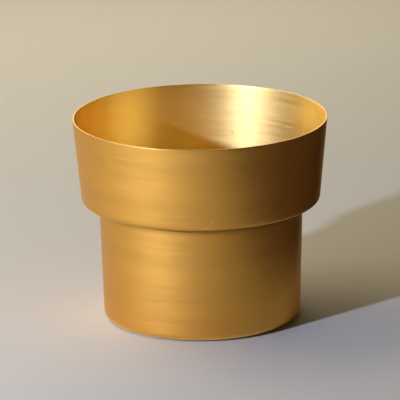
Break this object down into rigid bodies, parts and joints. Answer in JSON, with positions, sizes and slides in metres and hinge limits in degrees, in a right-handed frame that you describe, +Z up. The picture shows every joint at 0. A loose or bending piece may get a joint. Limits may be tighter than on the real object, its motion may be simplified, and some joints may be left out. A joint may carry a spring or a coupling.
{
  "type": "cachepot",
  "caption": "Stepped round cachepot in brushed brass: a wide flared ring above a narrower cup, open at the top, that hides a nursery pot.",
  "frame": {"origin": "on the pot's axis, on the surface that it stands on", "axes": "+Z up along the pot's axis, towards its mouth; the pads lie midway between +X and +Y and so on round"},
  "size_m": [0.187, 0.1868, 0.151],
  "materials": {
    "brushed_brass": "satin, brushed round the axis",
    "silver_solder": "dull, as flowed",
    "pad_rubber": "matt black"
  },
  "bodies": {
    "root": {"upper_tier": "brushed_brass", "lower_tier": "brushed_brass", "solder_seam": "silver_solder", "foot_pad_1": "pad_rubber", "foot_pad_2": "pad_rubber", "foot_pad_3": "pad_rubber", "foot_pad_4": "pad_rubber"}
  },
  "joints": []
}
